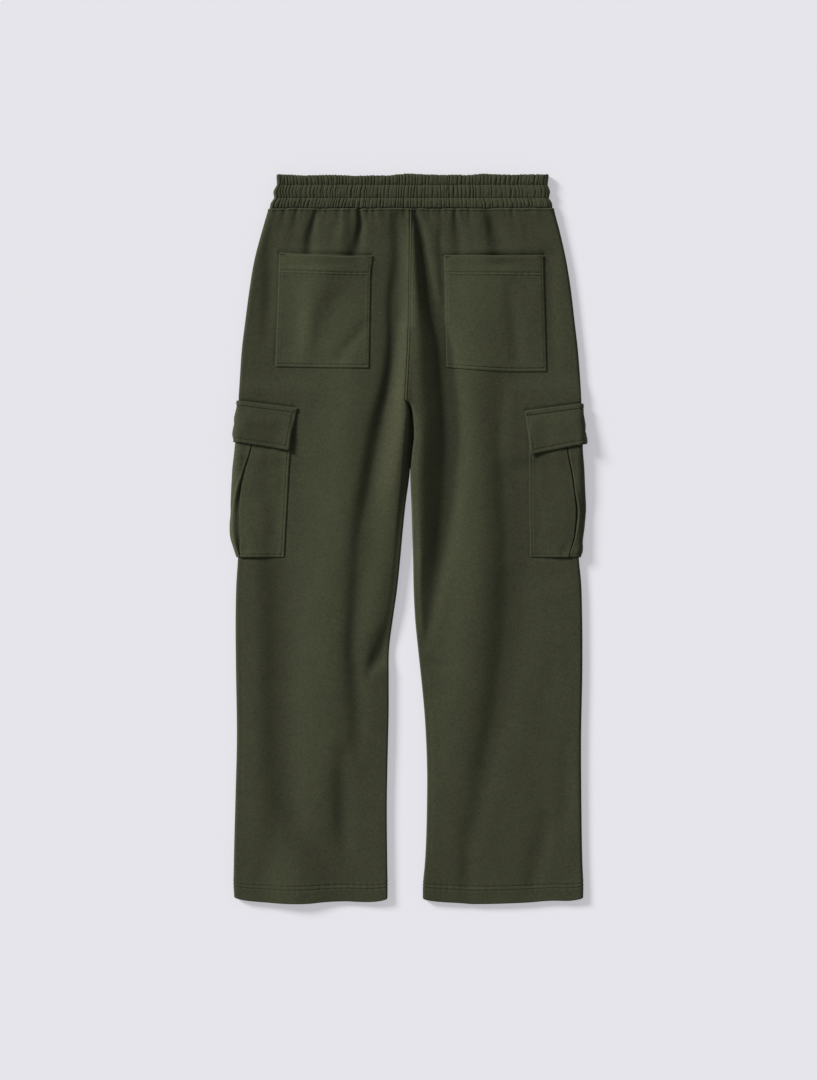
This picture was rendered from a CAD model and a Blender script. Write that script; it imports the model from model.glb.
import math

import bmesh
import bpy
import numpy as np
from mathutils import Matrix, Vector


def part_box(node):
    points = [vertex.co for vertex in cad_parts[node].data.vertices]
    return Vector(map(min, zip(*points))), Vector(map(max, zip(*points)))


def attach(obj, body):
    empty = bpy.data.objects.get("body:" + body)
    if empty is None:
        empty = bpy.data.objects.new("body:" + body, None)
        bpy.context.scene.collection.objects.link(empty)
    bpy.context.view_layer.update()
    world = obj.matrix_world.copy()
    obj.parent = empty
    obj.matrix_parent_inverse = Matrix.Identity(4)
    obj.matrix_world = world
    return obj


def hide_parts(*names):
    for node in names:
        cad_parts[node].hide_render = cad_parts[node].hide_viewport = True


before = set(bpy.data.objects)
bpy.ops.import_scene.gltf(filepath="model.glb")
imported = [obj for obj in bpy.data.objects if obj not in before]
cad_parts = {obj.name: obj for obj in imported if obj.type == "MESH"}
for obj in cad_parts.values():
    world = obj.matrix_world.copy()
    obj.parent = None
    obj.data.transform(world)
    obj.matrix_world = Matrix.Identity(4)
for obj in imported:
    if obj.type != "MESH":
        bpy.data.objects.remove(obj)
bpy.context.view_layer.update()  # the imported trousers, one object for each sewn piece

# Lengths are millimetres on the laid garment: x to the wearer's right, y to the waist, z off the table.
millimetre = 0.001
sides = ("left", "right")
inward = {"left": 1.0, "right": -1.0}  # from each leg's outer edge towards the middle

cloth = {
    "wall": 1.8,  # one layer of fleece
    "hemWall": 3.2,  # turned up inside the leg
    "seamGap": 0.3,  # between pieces that are sewn together
    "patchGap": 0.2,  # under a patch
    "patchWall": 1.0,  # a patch is pressed thinner than the leg
    "restGap": 0.5,  # between the back and the front layers
    "unevenness": 0.45,  # the soft random lie of the cloth
    "edgeRadius": 1.3,
}

thread = {
    "pitch": 3.3,
    "length": 2.6,
    "width": 0.62,
    "sink": 0.5,  # how deep a row of stitches pulls the cloth in
    "sinkWidth": 0.8,
    "swell": 0.12,  # the cloth rises a little beside the row
    "swellReach": 2.3,
    "swellWidth": 1.3,
    "pucker": 0.16,
    "puckerLength": 9.5,
    "puckerWidth": 4.5,
}


def smooth(value):
    # 0 below 0 and 1 above 1, with no kink between
    bounded = np.clip(value, 0.0, 1.0)
    return bounded * bounded * (3.0 - 2.0 * bounded)


def bell(distance, width):
    return np.exp(-((np.asarray(distance, dtype=float) / width) ** 2))


def hermite(start, end, startSlope, endSlope, t):
    first = (2 * t**3 - 3 * t**2 + 1) * start + (t**3 - 2 * t**2 + t) * startSlope
    return first + (3 * t**2 - 2 * t**3) * end + (t**3 - t**2) * endSlope


def alongStretch(x, y, start, end):
    # each place's nearest point on a straight stretch: its share of the way, and the distance in x and y
    run = (end[0] - start[0], end[1] - start[1])
    t = np.clip(((x - start[0]) * run[0] + (y - start[1]) * run[1]) / (run[0] ** 2 + run[1] ** 2), 0, 1)
    return t, x - start[0] - t * run[0], y - start[1] - t * run[1]


def curveThrough(rows, column):
    # a smooth curve through one column of a table whose rows run downwards
    heights = np.array([row[0] for row in rows], dtype=float)[::-1]
    values = np.array([row[column] for row in rows], dtype=float)[::-1]
    slopes = np.gradient(values, heights)

    def read(y):
        y = np.clip(np.asarray(y, dtype=float), heights[0], heights[-1])
        start = np.clip(np.searchsorted(heights, y) - 1, 0, len(heights) - 2)
        span = heights[start + 1] - heights[start]
        t = (y - heights[start]) / span
        return hermite(values[start], values[start + 1], span * slopes[start], span * slopes[start + 1], t)

    return read


def softNoise(x, y, cell, seed):
    # smooth unevenness from about -1 to 1, with swellings one cell wide
    lattice = np.random.default_rng(seed).uniform(-1, 1, (97, 97))
    u = np.asarray(x, dtype=float) / cell + 40.5
    v = np.asarray(y, dtype=float) / cell + 40.5
    i, j = np.floor(u).astype(int), np.floor(v).astype(int)
    a, b = smooth(u - i), smooth(v - j)
    i, j = i % 96, j % 96
    low = lattice[i, j] * (1 - a) + lattice[i + 1, j] * a
    high = lattice[i, j + 1] * (1 - a) + lattice[i + 1, j + 1] * a
    return low * (1 - b) + high * b


def spread(positions, weights, count):
    # count positions, closer together where the weights are high
    total = np.concatenate([[0.0], np.cumsum((weights[1:] + weights[:-1]) / 2 * np.diff(positions))])
    return np.interp(np.linspace(0, total[-1], count), total, positions)


def stopsAlong(length, rows, coarse, fine=0.45, reach=1.9):
    # places from 0 to length, closer together at both ends and beside each stitch row
    positions = np.linspace(0, length, 3000)
    weights = np.full(len(positions), 1.0 / coarse)
    for row in (0.0, *rows, length):
        weights = np.maximum(weights, bell(positions - row, reach) / fine)
    stops = spread(positions, weights, int(weights.mean() * length) + 2)
    for row in rows:
        stops[nearest(stops, row)] = row
    return stops


def nearest(values, wanted):
    return int(np.argmin(np.abs(np.asarray(values) - wanted)))


# ---- the legs as they lie ----

leg = {
    "waistY": 476.0,
    "crotchY": 200.0,
    "hemY": -525.0,
    "hemDepth": 22.0,
    "hemCornerRise": 6.8,
    "rollLength": 10.0,  # the centre seam turns down into the crotch over this
    "sagDepth": 1.2,  # the middle of a panel sinks below its rounded edges
    "sagReach": 50.0,
    "foldFade": 9.0,  # folds die out this near a rounded edge
    "backRows": 296,
    "backColumns": 128,
    "frontRows": 120,
    "frontColumns": 52,
    "crotchTuck": 0.9,
    "notchLength": 55.0,  # below the crotch the legs' inner edges only slowly become as round as lower down
    "waistDrop": 1.8,  # the front's waist seam lies a little lower than the back's
    "waistWave": 0.9,  # the gathers pull the waist seam up and down
    "pressDepth": 0.35,  # beside a patch the leg is pressed in
    "pressWidth": 2.0,
    "mouthDepth": 1.3,  # above a pocket's mouth and a flap it dips further
    "mouthWidth": 2.6,
    "liftShown": 0.35,  # how much of the cargo pocket beneath shows in the leg's top
    "frontSeamShift": 2.6,  # the front's centre seam doesn't lie straight under the back's
    "centreRow": 3.2,  # the topstitch beside the centre back seam
    "hemRows": (-500.0, -505.8),
    "waistRow": 471.6,
    "outerEdge": [  # y, left, right
        (476, -200.9, 209.7), (445, -210.0, 218.2), (401, -221.6, 228.1), (358, -228.8, 235.0),
        (315, -234.5, 240.0), (272, -239.7, 245.0), (229, -242.6, 248.3), (190, -245.0, 250.4),
        (99, -245.2, 247.8), (13, -245.2, 246.3), (-31, -245.4, 246.6), (-60, -247.3, 249.4),
        (-117, -248.6, 251.2), (-180, -248.2, 251.5), (-290, -246.8, 249.6), (-376, -248.9, 250.0),
        (-463, -251.1, 251.4), (-506, -251.5, 252.8), (-526, -250.6, 252.6),
    ],
    "innerEdge": [  # y, left, right
        (200, -4.4, -4.4), (196, 0.6, 0.7), (191, 3.3, 3.4), (185, 4.8, 4.9), (165, 6.9, 7.0),
        (145, 7.4, 7.5), (123, 4.8, 4.9), (103, 3.3, 3.4), (80, 0.8, 3.6), (56, -2.6, 4.6),
        (13, -7.2, 5.9), (-31, -11.2, 7.2), (-74, -15.7, 8.0), (-117, -21.8, 10.2), (-160, -27.1, 14.4),
        (-203, -27.6, 19.0), (-247, -27.6, 23.2), (-290, -28.5, 25.9), (-333, -29.5, 27.3),
        (-376, -30.2, 27.2), (-463, -29.7, 24.4), (-506, -29.2, 21.1), (-526, -29.4, 21.1),
    ],
    "hemWave": {  # x and how much the hem is raised there
        "left": [
            (-37, -0.7), (-55, 0.0), (-72, 1.0), (-89, 2.1), (-107, 1.9), (-124, 1.0), (-141, -0.6),
            (-158, -1.2), (-176, -1.0), (-210, 0.7), (-245, 1.4),
        ],
        "right": [
            (248, 0.6), (230, 1.3), (213, 2.6), (196, 2.4), (179, 1.1), (144, -0.4), (109, -1.4),
            (92, -1.6), (75, -0.6), (40, -0.1), (23, -0.6),
        ],
    },
    "centreSeam": [(476, 2.9), (358, 1.0), (272, -0.6), (229, -3.0), (200, -4.4)],  # y, x
    "thickness": [(476, 12.0), (440, 10.5), (380, 9.6), (200, 9.6), (0, 9.4), (-300, 9.1), (-526, 8.9)],
    "sheet": {"back": (0.31, 1.04, 0.236), "front": (0.30, 1.04, 0.234)},  # width, length and area, metres
}

# Each fold runs down its own path: x, y, width, rise (below 0 for a trough) and, where it isn't 0,
# lean, which makes the side towards the left steeper than the other.
folds = {
    "left outer swell": [
        (-218, 250, 16, 0), (-216, 0, 18, 1.4), (-216, -88, 20, 2.4), (-216, -319, 20, 2.4),
        (-216, -405, 20, 2.4), (-222, -480, 14, 0.5),
    ],
    "left hem swell": [
        (-170, -400, 34, 0), (-168, -450, 36, 2.5), (-165, -491, 38, 5), (-164, -526, 38, 5),
    ],
    "left thigh crest": [
        (-106, 344, 60, 3), (-81, 200, 52, 9.5), (-84, 157, 52, 10.5), (-91, 27, 52, 10.6),
        (-103, -88, 50, 9.5), (-116, -232, 52, 7), (-124, -350, 44, 4.5), (-132, -430, 28, 1.5),
    ],
    "left middle trough": [
        (-16, 462, 8, -3), (-14, 400, 9, -4), (-20, 344, 10, -5.5, 0.1), (-19, 286, 11, -7, 0.15),
        (-25, 229, 12, -7, 0.2), (-41, 157, 15, -6.2, 0.2), (-55, 75, 16, -6, 0.2),
        (-68, 0, 18, -4.2, 0.25), (-74, -88, 14, -3.8, 0.1), (-79, -150, 12, -3.6, 0.1),
        (-73, -232, 13, -3.2), (-72, -300, 12, -1.5),
    ],
    "left inseam ridge": [
        (-5, 301, 9, 5), (-7, 229, 10, 7), (-10, 157, 14, 10, -0.2), (-20, 75, 17, 8.5, -0.1),
        (-24, 0, 20, 4.2), (-38, -70, 20, 3.5), (-46, -125, 16, 2.5),
    ],
    "left outer trough": [
        (-186, 60, 20, -1), (-188, -31, 24, -2.5, 0.1), (-181, -150, 26, -4.4, 0.1),
        (-178, -300, 24, -4.2, 0.1), (-168, -405, 20, -4), (-130, -455, 20, -3), (-100, -495, 24, -3),
        (-94, -526, 24, -3),
    ],
    "left knee crease": [
        (-20, -108, 9, -1.2), (-25, -136, 14, -3.8), (-34, -158, 14, -5.8), (-45, -175, 11, -5.4, 0.05),
        (-54, -189, 8, -2.4), (-59, -202, 7, -0.4),
    ],
    "left shin trough": [
        (-95, -314, 13, -1.6), (-94, -369, 13, -3.4), (-93, -420, 12, -3), (-92, -460, 12, -1),
    ],
    "right seam ridge": [
        (6, 440, 7, 2.5), (7, 401, 10, 5.8), (10, 344, 12, 8.8), (12, 286, 19, 12.3),
        (12, 229, 23, 13.6), (16, 157, 25, 13.6, -0.1), (15, 85, 22, 12, -0.1), (15, -2, 17, 9),
        (13, -88, 11, 3.5), (24, -150, 10, 1),
    ],
    "right middle trough": [
        (10, 470, 5, -3), (18, 445, 6, -7.5), (23, 401, 7, -8, 0.1), (32, 344, 9, -8.5, 0.1),
        (52, 286, 12, -10.4), (59, 229, 15, -10.4), (65, 157, 16, -9.8), (62, 85, 15, -9),
        (53, 0, 14, -7.2), (38, -88, 10.5, -3.4), (24, -150, 8, -1.6),
    ],
    "right pocket branch": [
        (46, 437, 5, -1.5), (50, 380, 6, -2.5), (51, 335, 6, -3), (44, 308, 7, -1.5),
    ],
    "right thigh crest": [
        (88, 344, 26, 2.5), (100, 157, 30, 5), (100, 27, 36, 8), (92, -88, 40, 8.5),
        (78, -232, 40, 6.5), (66, -350, 40, 4), (62, -440, 36, 2),
    ],
    "right outer trough": [
        (150, 230, 22, -1.5), (143, 157, 24, -4.5, 0.1), (148, 85, 26, -5, 0.15),
        (152, 0, 26, -5.5, 0.15), (148, -100, 26, -5.5, 0.15), (140, -180, 24, -4.8, 0.15),
        (122, -290, 20, -4.2, 0.1), (106, -360, 16, -2.8), (96, -430, 14, -1.4),
    ],
    "right shin trough": [(201, -405, 14, -1), (187, -458, 14, -2.5), (178, -505, 13, -2.5)],
    "right hem trough": [(84, -415, 12, -1), (86, -470, 11, -2.2), (84, -518, 11, -2)],
    "left waist fold, outer": [
        (-131, 473, 4, -2), (-135, 459, 5, -3.2), (-138, 445, 6, -3.8), (-140, 431, 8, -4),
        (-141, 416, 9, -4.6), (-140, 405, 10, -3.2), (-140, 392, 9, -0.5),
    ],
    "left waist fold, inner": [
        (-70, 473, 4, -3.5), (-67.5, 457, 5, -4.8), (-68.5, 445, 5.5, -5), (-70, 433, 6.5, -4.6),
        (-71.5, 422, 8, -4.2), (-75, 412, 10, -3.8), (-77, 402, 10, -2.2), (-78, 392, 9, -0.4),
    ],
    "right waist fold": [(114, 472, 6, -2.5), (124, 445, 11, -6.5, 0.1), (135, 410, 16, -5)],
    "right waist band": [(68, 470, 4, -1), (72, 440, 8, -2.4), (75, 405, 9, -1.8)],
    "left waist swell": [(-91, 471, 5, 1.8), (-94, 440, 8, 2.2), (-98, 418, 10, 1)],
    "left hip band": [
        (-196, 440, 9, -1), (-199, 400, 10, -2.4), (-200, 344, 10, -2.6), (-204, 290, 10, -1.2),
    ],
    "left mouth sag": [
        (-178, 405, 7, -0.6), (-150, 403, 8, -1.6), (-100, 402, 8, -1.8), (-58, 402, 7, -1),
    ],
    "right mouth sag": [
        (92, 407, 8, -1), (122, 403, 9, -2.6), (160, 403, 9, -2.6), (192, 403, 9, -0.8),
    ],
    "left pocket ridge": [
        (-132, 424, 46, 2, 0.1), (-132, 395, 46, 6.4, 0.1), (-132, 374, 36, 6.8, -0.1),
        (-136, 352, 25, 6), (-139, 329, 18, 5.4), (-143, 300, 14, 4.2), (-147, 268, 13, 2.2),
        (-149, 246, 13, 0.6),
    ],
    "left pocket crease": [(-60, 308, 9, -0.8), (-79, 286, 9, -1.8), (-97, 262, 9, -1.3)],
    "right pocket swell": [
        (118, 425, 40, 1.5), (118, 395, 44, 4.5), (118, 330, 46, 5), (118, 255, 44, 3.5),
    ],
    "right pocket band": [(147, 360, 10, -0.8), (152, 310, 12, -2), (156, 262, 11, -1.6)],
    "right hip hollow": [(203, 405, 12, -2.4), (204, 330, 12, -2.8), (207, 250, 11, -1.4)],
    "right knee crease 1": [(30, -176, 6, -0.9), (48, -183, 7, -1.1), (66, -182, 7, -0.5)],
    "right knee crease 2": [(34, -219, 6, -0.6), (54, -226, 7, -0.7)],
    "right calf ripple": [(228, -300, 10, -0.8), (226, -380, 12, -1.2), (222, -450, 10, -0.5)],
}


def finePath(points, pieces=4):
    # a fold's path with points added along a smooth curve
    table = np.array([point if len(point) == 5 else (*point, 0) for point in points], dtype=float)
    fine = np.linspace(0, len(table) - 1, (len(table) - 1) * pieces + 1)
    slopes = np.gradient(table, axis=0)
    start = np.clip(np.floor(fine).astype(int), 0, len(table) - 2)
    t = (fine - start)[:, None]
    return hermite(table[start], table[start + 1], slopes[start], slopes[start + 1], t)


foldPaths = [finePath(points) for points in folds.values()]
outerX = {side: curveThrough(leg["outerEdge"], column) for column, side in enumerate(sides, 1)}
innerLegX = {side: curveThrough(leg["innerEdge"], column) for column, side in enumerate(sides, 1)}
hemWave = {side: curveThrough(leg["hemWave"][side], 1) for side in sides}
centreX = curveThrough(leg["centreSeam"], 1)
thickness = curveThrough(leg["thickness"], 1)


def innerX(side, y):
    # the centre seam above the crotch, and the leg's inner edge below it
    x = np.where(np.asarray(y) >= leg["crotchY"], centreX(y), innerLegX[side](y))
    return x - inward[side] * cloth["seamGap"] / 2


def crotchTurn(y):
    # 0 where the two halves are joined, 1 where each leg is a tube of its own
    return smooth((leg["crotchY"] - np.asarray(y, dtype=float)) / leg["rollLength"])


def innerRound(y):
    # how round the leg's inner edge is
    return thickness(y) / 2 * (0.3 + 0.3 * smooth((leg["crotchY"] - y) / leg["notchLength"]))


def edgeHold(side, y):
    # how much of a fold's height is still there at the leg's inner edge
    y = np.asarray(y, dtype=float)
    return 0.6 * smooth((130 - y) / 70) if side == "left" else 0.5 + 0.4 * smooth((y + 40) / 80)


def wallAt(y):
    return np.where(np.asarray(y) < leg["hemY"] + leg["hemDepth"], cloth["hemWall"], cloth["wall"])


def foldRise(x, y):
    # every fold's height at these places
    total = np.zeros(np.shape(x))
    for path in foldPaths:
        reach = 3 * path[:, 2].max()
        if np.max(y) < path[:, 1].min() - reach or np.min(y) > path[:, 1].max() + reach:
            continue
        best = np.full(np.shape(x), 1e9)
        width = np.ones(np.shape(x))
        rise = np.zeros(np.shape(x))
        for start, end in zip(path[:-1], path[1:]):
            t, aside, along = alongStretch(x, y, start, end)
            run = end - start
            distance = np.hypot(aside, along)
            closer = distance < best
            best = np.where(closer, distance, best)
            lean = np.where(aside < 0, -1, 1) * (start[4] + t * run[4])
            width = np.where(closer, (start[2] + t * run[2]) * (1 + lean), width)
            rise = np.where(closer, start[3] + t * run[3], rise)
        total = total + rise * bell(best, width)
    return total


waistGathers = [  # x, depth, lean and reach of each small crease under the waistband
    (-190, 0.7, -0.2, 26), (-176, 1.1, -0.15, 30), (-159, 1.3, -0.15, 34), (-150, 0.6, -0.1, 16),
    (-125, 1.6, -0.1, 30), (-117, 1.5, -0.08, 26), (-111, 0.8, 0, 18), (-98, 0.9, -0.1, 24),
    (-90, 1.4, -0.1, 26), (-83, 1.5, 0, 12), (-57, 1.4, 0, 30), (-49, 1.2, 0.05, 24),
    (-36, 0.7, 0.1, 18), (-5, 1.0, 0, 30), (25, 0.8, 0.1, 18), (31, 1.2, 0.1, 26), (40, 0.7, 0.1, 16),
    (47, 1.4, 0.1, 34), (56, 0.6, 0, 16), (68, 1.3, 0.1, 30), (80, 0.7, 0.1, 20), (88, 1.4, 0.1, 30),
    (99, 0.8, 0.1, 20), (106, 0.9, 0.1, 18), (139, 0.7, 0.15, 20), (150, 0.9, 0.15, 30),
    (163, 0.6, 0.2, 22), (176, 0.8, 0.2, 28), (192, 0.5, 0.2, 22),
]


def gatherRise(x, y):
    # small creases that start in the waist seam, widen and die out
    total = np.zeros(np.shape(x))
    below = leg["waistY"] - np.asarray(y, dtype=float)
    if np.min(below) > 80:
        return total
    for start, depth, lean, reach in waistGathers:
        total = total - depth * bell(x - start - lean * below, 2.6 + 0.15 * below) * bell(below, reach)
    return total


def lieOfCloth(x, y):
    # no cloth lies quite smooth: broad soft swellings, and small ones under the gathered waist
    broad = softNoise(x, y * 0.45, 30, 3) * 0.7 + softNoise(x * 1.1, y * 0.8, 14, 4) * 0.3
    gathered = softNoise(x, y * 0.2, 7, 5) * smooth((y - 395) / 75) * 0.7
    return cloth["unevenness"] * (broad + gathered) + gatherRise(x, y)


def topHeight(side, x, y):
    # height of the back's outer surface between its rounded edges
    x, y = np.broadcast_arrays(np.asarray(x, dtype=float), np.asarray(y, dtype=float))
    half = thickness(y) / 2
    turn = crotchTurn(y)
    fromOuter = inward[side] * (x - outerX[side](y)) - half
    fromInner = inward[side] * (innerX(side, y) - x) - innerRound(y) * np.sin(turn * math.pi / 2)
    fade = leg["foldFade"] * (0.35 + 0.65 * smooth((leg["crotchY"] - y) / leg["notchLength"]))
    nearInner = turn * (1.0 - smooth(fromInner / fade)) * (1.0 - edgeHold(side, y))
    sag = leg["sagDepth"] * smooth(fromOuter / leg["sagReach"]) * smooth((leg["waistY"] - y) / 40.0)
    below = smooth((leg["crotchY"] - y) / 70.0)
    sag = sag * (1.0 - below * (1.0 - smooth(fromInner / leg["sagReach"])))
    creased = foldRise(x, y) + lieOfCloth(x, y)
    height = 2 * half - sag + smooth(fromOuter / leg["foldFade"]) * (1.0 - nearInner) * creased
    height = height - (1.0 - leg["liftShown"]) * liftAt(side, x, y)
    lowest = 2 * wallAt(y) + cloth["restGap"]
    softness = 1.2
    height = lowest + softness * np.logaddexp(0.0, (height - lowest) / softness)
    return height + liftAt(side, x, y)


def liftAt(side, x, y):
    # the leg's underside is raised where it lies on its cargo pocket and flap
    reach = inward[side] * (x - outerX[side](y))
    share = 1.0 - smooth((reach - cargo["liftReach"]) / cargo["liftFade"])
    pocket = fadedEnds(y, cargo["liftEnds"])
    return share * (cargo["lift"] * pocket + flap["lift"] * fadedEnds(y, flap["liftEnds"]))


def fadedEnds(y, ends):
    # 1 between two places and 0 beyond them, each with the length it takes to rise
    (bottom, bottomFade), (top, topFade) = ends
    return smooth((y - bottom) / bottomFade) * smooth((top - y) / topFade)


def crotchTuck(y):
    # just below the crotch the left leg's front bulges under the right leg, so no table shows between them
    return leg["crotchTuck"] * float(smooth((y - 96) / 10) * crotchTurn(y))


def halfSection(side, y, front):
    # one panel's outer line at y, from the side seam to its other seam
    half = float(thickness(y)) / 2
    turn = float(crotchTurn(y)) * math.pi / 2
    outer = float(outerX[side](y))
    inner = float(innerX(side, y)) + front * leg["frontSeamShift"] * float(smooth((y - 178) / 14))
    step = inward[side]
    arcPoints = 24
    sideStart = outer + step * half
    rounded = float(innerRound(y))
    innerStart = inner - step * rounded * math.sin(turn)
    flatX = np.linspace(sideStart, innerStart, 340)
    flatZ = liftAt(side, flatX, y) if front else topHeight(side, flatX, y)
    middle = half + 0.5 * (1.0 + leg["liftShown"]) * float(liftAt(side, outer, y))
    sideAngles = np.linspace(math.pi / 2, 0, arcPoints)
    sideX = outer + step * half * (1 - np.sin(sideAngles))
    sideZ = middle + (flatZ[0] - middle) * np.cos(sideAngles)
    innerAngles = np.linspace(0, turn, arcPoints if turn > 0.02 else 1)
    innerArcX = inner - step * rounded * (math.sin(turn) - np.sin(innerAngles))
    if front and side == "left":
        tuck = rounded * crotchTuck(y)
        innerArcX = innerArcX + tuck * np.sin(2 * innerAngles) * np.cos(innerAngles) ** 1.5
    innerArcZ = half + (flatZ[-1] - half) * np.cos(innerAngles)
    x = np.concatenate([sideX, flatX[1:-1], innerArcX])
    return x, np.concatenate([sideZ, flatZ[1:-1], innerArcZ])


def sectionLine(side, y):
    # the leg's whole outer line at y: girth distance, place and outward direction
    backX, backZ = halfSection(side, y, front=False)
    frontX, frontZ = halfSection(side, y, front=True)
    x = np.concatenate([frontX[::-1], backX[1:]])
    z = np.concatenate([frontZ[::-1], backZ[1:]])
    girth = np.concatenate([[0.0], np.cumsum(np.hypot(np.diff(x), np.diff(z)))])
    girth = girth - girth[len(frontX) - 1]
    tangentX = np.gradient(x, girth)
    tangentZ = np.gradient(z, girth)
    length = np.hypot(tangentX, tangentZ)
    outX = -inward[side] * tangentZ / length
    outZ = inward[side] * tangentX / length
    return {"girth": girth, "x": x, "z": z, "outX": outX, "outZ": outZ}


def onLeg(line, girth, height=0.0):
    # places at a girth distance from the side seam, moved out by height
    x, z, outX, outZ = (np.interp(girth, line["girth"], line[key]) for key in ("x", "z", "outX", "outZ"))
    return np.stack([x + outX * height, z + outZ * height], axis=-1)


class LegSkin:
    # a stretch of a leg's outside near its side seam, read at any girth and height
    def __init__(self, side, bottom, top, reach=135.0, step=1.25):
        self.bottom, self.step, self.reach = bottom, step, reach
        girths = np.arange(-reach, reach + step, step)
        rows = []
        for y in np.arange(bottom, top + step, step):
            line = sectionLine(side, float(y))
            rows.append([np.interp(girths, line["girth"], line[key]) for key in ("x", "z", "outX", "outZ")])
        self.table = np.array(rows)

    def place(self, girth, y, height):
        girth, y, height = np.broadcast_arrays(girth, y, height)
        u = np.clip((girth + self.reach) / self.step, 0, self.table.shape[2] - 1.001)
        v = np.clip((y - self.bottom) / self.step, 0, self.table.shape[0] - 1.001)
        i, j = u.astype(int), v.astype(int)
        a, b = u - i, v - j
        x, z, outX, outZ = (
            (self.table[j, k, i] * (1 - a) + self.table[j, k, i + 1] * a) * (1 - b)
            + (self.table[j + 1, k, i] * (1 - a) + self.table[j + 1, k, i + 1] * a) * b
            for k in range(4)
        )
        return np.stack([x + outX * height, y, z + outZ * height], axis=-1)


def napOn(x, y):
    # the brushed face is rubbed lighter on the raised folds and stays dark in the troughs
    return np.tanh(foldRise(x, y) / 8.0)


def creaseNap(raised):
    # the same for what sewing raises and sinks
    return 0.5 * np.clip(raised / 0.8, -1, 1)


def onBack(side, x, y, height):
    # a place over the back's surface, moved out by height along its slope
    small = 0.5
    z = topHeight(side, x, y)
    slopeX = (topHeight(side, x + small, y) - topHeight(side, x - small, y)) / (2 * small)
    slopeY = (topHeight(side, x, y + small) - topHeight(side, x, y - small)) / (2 * small)
    length = np.sqrt(slopeX**2 + slopeY**2 + 1)
    outX, outY = slopeX / length, slopeY / length
    return np.stack([x - outX * height, y - outY * height, z + height / length], axis=-1)


# ---- sewing and edges, as heights added to a piece's surface ----


def stitchDip(distance):
    sink = -thread["sink"] * bell(distance, thread["sinkWidth"])
    return sink + thread["swell"] * bell(np.abs(distance) - thread["swellReach"], thread["swellWidth"])


def puckers(along, distance, seed):
    # short ripples across a row of stitches, as uneven as the feed of the machine
    phase = along / thread["puckerLength"] * 2 * math.pi + 2.5 * softNoise(along, 0 * along, 23, seed)
    strength = 0.6 + 0.6 * softNoise(along, 0 * along, 31, seed + 1)
    return thread["pucker"] * strength * np.sin(phase) * bell(distance, thread["puckerWidth"])


def edgeRound(distance, wall):
    # the outside turns in towards the middle of the wall at a free edge
    near = 1 - np.clip(distance / cloth["edgeRadius"], 0, 1)
    return -0.5 * wall * (1 - np.sqrt(1 - near**2))


# ---- meshes ----

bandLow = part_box("waistband")[0]


def toFrame(places):
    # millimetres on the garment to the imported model's metres
    tableCorner = np.array([band["edges"][-1][1], band["edges"][-1][0], 0.0])
    shift = np.array([bandLow.x, bandLow.y, 0.0]) - tableCorner * millimetre
    return places * millimetre + shift


def gridShape(points, nap):
    # a grid of faces laid on rows and columns of places
    rows, columns = points.shape[:2]
    shape = bmesh.new()
    bmesh.ops.create_grid(shape, x_segments=columns - 1, y_segments=rows - 1, size=1)
    brushed = shape.verts.layers.float.new("nap")
    for vertex, place, share in zip(shape.verts, toFrame(points).reshape(-1, 3), np.ravel(nap)):
        vertex.co = place
        vertex[brushed] = share
    return shape


def showPiece(name, mesh):
    # a mesh shaded smooth, riding on the garment
    mesh.shade_smooth()
    piece = bpy.data.objects.new(name, mesh)
    bpy.context.scene.collection.objects.link(piece)
    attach(piece, "root")
    return piece


def finishPiece(name, shape, node):
    # faces pointing out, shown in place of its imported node
    bmesh.ops.recalc_face_normals(shape, faces=shape.faces)
    mesh = bpy.data.meshes.new(name)
    shape.to_mesh(mesh)
    shape.free()
    piece = showPiece(name, mesh)
    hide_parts(node)
    return piece


def doubleSkin(name, outer, inner, nap, node, slot):
    # a sheet given a second skin and closed round its edges
    shape = gridShape(outer, nap)
    order = shape.verts.layers.int.new("order")
    for index, vertex in enumerate(shape.verts):
        vertex[order] = index
    extruded = bmesh.ops.extrude_face_region(shape, geom=shape.faces[:], use_keep_orig=True)
    places = toFrame(inner).reshape(-1, 3)
    for vertex in extruded["geom"]:
        if isinstance(vertex, bmesh.types.BMVert):
            vertex.co = places[vertex[order]]
    return finishPiece(name, shape, node)


def sewRuns(name, runs):
    # one bead of thread, made once and laid along every run of stitches
    bead = bmesh.new()
    bmesh.ops.create_icosphere(bead, subdivisions=1, radius=0.5)
    corners = np.array([vertex.co[:] for vertex in bead.verts])
    faces = np.array([[vertex.index for vertex in face.verts] for face in bead.faces])
    bead.free()
    allCorners = []
    allFaces = []
    for places, normals, size in runs:
        for place, along, up in stitchesAlong(places, normals, size["pitch"]):
            aside = np.cross(up, along)
            axes = np.stack([along * size["length"], aside * size["width"], up * size["width"]])
            allFaces.append(faces + len(corners) * len(allCorners))
            allCorners.append(place + corners @ axes)
    mesh = bpy.data.meshes.new(name)
    beads = np.concatenate(allCorners)
    beads[:, 2] = np.maximum(beads[:, 2], 0.0)
    mesh.from_pydata(toFrame(beads).tolist(), [], np.concatenate(allFaces).tolist())
    return showPiece(name, mesh)


def stitchRow(skins, down, across):
    # a run of stitches along one row or column of a sheet, given its outer and inner skin
    outer, inner = skins
    return outer[down, across], (outer - inner)[down, across], thread


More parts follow.
